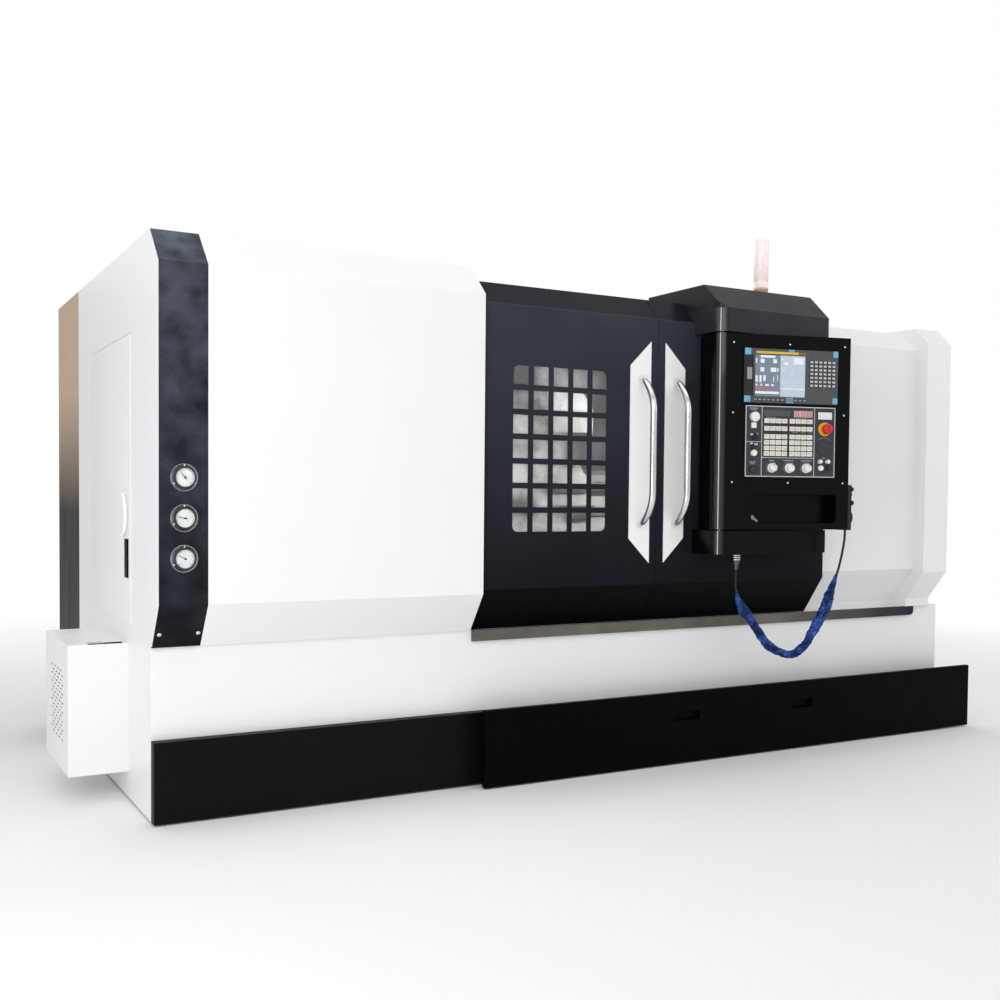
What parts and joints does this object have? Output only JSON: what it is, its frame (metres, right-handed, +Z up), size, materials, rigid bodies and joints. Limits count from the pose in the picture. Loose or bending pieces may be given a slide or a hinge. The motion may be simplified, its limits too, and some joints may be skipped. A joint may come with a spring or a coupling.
{
  "type": "cnc turning lathe",
  "caption": "Enclosed slant-bed turning lathe with sliding doors, a swivelling control panel, a chucking spindle, a turret, a tailstock and a pull-out coolant tank.",
  "frame": {"origin": "middle of the footprint on the floor", "axes": "+X along the front from left to right, +Y from front to back, +Z up"},
  "size_m": [3.85, 2.2248, 2.091],
  "materials": {
    "white_paint": "semi-gloss powder coat",
    "recess_paint": "semi-gloss powder coat",
    "charcoal_paint": "satin textured coat",
    "slate_paint": "satin coat",
    "black_paint": "satin coat",
    "steel": "brushed",
    "chrome": "polished",
    "grey_iron": "machined and painted casting",
    "pane": "clear polycarbonate sheet",
    "black_plastic": "fine texture",
    "pale_plastic": "smooth",
    "red_plastic": "smooth",
    "lens_plastic": "translucent lens",
    "belt_rubber": "ribbed",
    "cord_rubber": "smooth",
    "blue_film": "crinkled film"
  },
  "bodies": {
    "machine": {"base_apron": "white_paint", "left_kick_plate": "black_paint", "levelling_feet": "steel", "bed_casting": "grey_iron", "guide_rails": "steel", "headstock": "grey_iron", "spindle_motor": "slate_paint", "drive_belt": "belt_rubber", "feed_motor": "black_paint", "splash_guard": "steel", "electrical_cabinet": "slate_paint", "headstock_cover": "white_paint", "gauge_column": "slate_paint", "pressure_gauges": "black_plastic", "left_end_cover": "white_paint", "roof_panel": "white_paint", "rear_cover": "white_paint", "recess_panel": "recess_paint", "right_end_cover": "white_paint", "sill_strip": "steel", "vented_box": "white_paint", "cover_screws": "steel"},
    "left_door": {"left_door_panel": "charcoal_paint", "window_pane": "pane", "left_handle_plate": "white_paint", "left_handle": "chrome"},
    "right_door": {"right_door_panel": "charcoal_paint", "right_handle_plate": "white_paint", "right_handle": "chrome", "pod_hood": "charcoal_paint", "pod_foot": "charcoal_paint", "signal_light": "lens_plastic", "cord_connector": "steel", "handwheel_cord": "cord_rubber", "cord_sleeve": "blue_film"},
    "control_panel": {"panel_case": "charcoal_paint", "screen_unit": "black_plastic", "operator_panel": "slate_paint", "handwheel_unit": "black_plastic"},
    "access_door": {"side_door": "white_paint", "side_door_handle": "white_paint"},
    "spindle_unit": {"spindle": "steel", "chuck": "steel"},
    "feed_screw": {"feed_screw": "steel"},
    "cabinet_door": {"cabinet_door": "slate_paint"},
    "handwheel": {"handwheel": "black_plastic"},
    "stop_button": {"stop_button": "red_plastic"},
    "feed_knob": {"feed_knob": "pale_plastic"},
    "rapid_knob": {"rapid_knob": "pale_plastic"},
    "speed_knob": {"speed_knob": "pale_plastic"},
    "coolant_tank": {"coolant_tank": "black_paint"},
    "jaw_1": {"jaw_1": "steel"},
    "jaw_2": {"jaw_2": "steel"},
    "jaw_3": {"jaw_3": "steel"},
    "motor_pulley": {"motor_pulley": "steel"},
    "saddle": {"saddle": "grey_iron"},
    "cross_slide": {"cross_slide": "grey_iron"},
    "turret": {"turret": "steel"},
    "tailstock": {"tailstock": "grey_iron"},
    "quill": {"quill": "steel"}
  },
  "joints": [
    {"name": "left_door_slide", "type": "slide", "parent": "machine", "child": "left_door", "axis": [-1, 0, 0], "range_m": [0, 0.62]},
    {"name": "right_door_slide", "type": "slide", "parent": "machine", "child": "right_door", "axis": [1, 0, 0], "range_m": [0, 0.58]},
    {"name": "panel_swivel", "type": "hinge", "parent": "right_door", "child": "control_panel", "pos_m": [0.363, -0.92055, 1.29], "axis": [0, 0, 1], "range_deg": [-45, 14]},
    {"name": "handwheel_turn", "type": "hinge", "parent": "control_panel", "child": "handwheel", "pos_m": [0.91313, -1.04992, 0.965], "axis": [0.9681, -0.2504, 0], "continuous": true},
    {"name": "stop_press", "type": "slide", "parent": "control_panel", "child": "stop_button", "axis": [0.2504, 0.9681, 0], "range_m": [0, 0.006], "stiffness_N_per_m": 1500},
    {"name": "feed_knob_turn", "type": "hinge", "parent": "control_panel", "child": "feed_knob", "pos_m": [0.52902, -1.02546, 1.154], "axis": [-0.2504, -0.9681, 0], "range_deg": [-135, 135]},
    {"name": "rapid_knob_turn", "type": "hinge", "parent": "control_panel", "child": "rapid_knob", "pos_m": [0.60066, -1.04399, 1.154], "axis": [-0.2504, -0.9681, 0], "range_deg": [-135, 135]},
    {"name": "speed_knob_turn", "type": "hinge", "parent": "control_panel", "child": "speed_knob", "pos_m": [0.67037, -1.06202, 1.154], "axis": [-0.2504, -0.9681, 0], "range_deg": [-135, 135]},
    {"name": "access_door_hinge", "type": "hinge", "parent": "machine", "child": "access_door", "pos_m": [-1.731, 0.28845, 1.08], "axis": [0, 0, -1], "range_deg": [0, 110]},
    {"name": "cabinet_door_hinge", "type": "hinge", "parent": "machine", "child": "cabinet_door", "pos_m": [-0.614, 1.11245, 0.93], "axis": [0, 0, -1], "range_deg": [0, 110]},
    {"name": "tank_slide", "type": "slide", "parent": "machine", "child": "coolant_tank", "axis": [0, -1, 0], "range_m": [0, 0.5]},
    {"name": "spindle_turn", "type": "hinge", "parent": "machine", "child": "spindle_unit", "pos_m": [-0.731, -0.28155, 1.13], "axis": [1, 0, 0], "continuous": true},
    {"name": "motor_turn", "type": "hinge", "parent": "machine", "child": "motor_pulley", "pos_m": [-1.291, -0.10155, 0.39], "axis": [1, 0, 0], "continuous": true},
    {"name": "jaw_1_slide", "type": "slide", "parent": "spindle_unit", "child": "jaw_1", "axis": [0, 0, 1], "range_m": [-0.007, 0]},
    {"name": "jaw_2_slide", "type": "slide", "parent": "spindle_unit", "child": "jaw_2", "axis": [0, -0.866, -0.5], "range_m": [-0.007, 0]},
    {"name": "jaw_3_slide", "type": "slide", "parent": "spindle_unit", "child": "jaw_3", "axis": [0, 0.866, -0.5], "range_m": [-0.007, 0]},
    {"name": "saddle_slide", "type": "slide", "parent": "machine", "child": "saddle", "axis": [1, 0, 0], "range_m": [-0.36, 0.14]},
    {"name": "feed_screw_turn", "type": "hinge", "parent": "machine", "child": "feed_screw", "pos_m": [0.269, 0.03664, 1.08757], "axis": [1, 0, 0], "continuous": true},
    {"name": "cross_slide_feed", "type": "slide", "parent": "saddle", "child": "cross_slide", "axis": [0, 0.7071, 0.7071], "range_m": [-0.08, 0.04]},
    {"name": "turret_index", "type": "hinge", "parent": "cross_slide", "child": "turret", "pos_m": [-0.281, -0.04821, 1.36335], "axis": [1, 0, 0], "continuous": true},
    {"name": "tailstock_slide", "type": "slide", "parent": "machine", "child": "tailstock", "axis": [1, 0, 0], "range_m": [-0.1, 0.12]},
    {"name": "quill_feed", "type": "slide", "parent": "tailstock", "child": "quill", "axis": [-1, 0, 0], "range_m": [0, 0.12]}
  ],
  "couplings": [
    {"joint": "motor_turn", "follows": "spindle_turn", "ratio": 1},
    {"joint": "jaw_2_slide", "follows": "jaw_1_slide", "ratio": 1},
    {"joint": "jaw_3_slide", "follows": "jaw_1_slide", "ratio": 1},
    {"joint": "feed_screw_turn", "follows": "saddle_slide", "rad_per_m": 628.32}
  ]
}
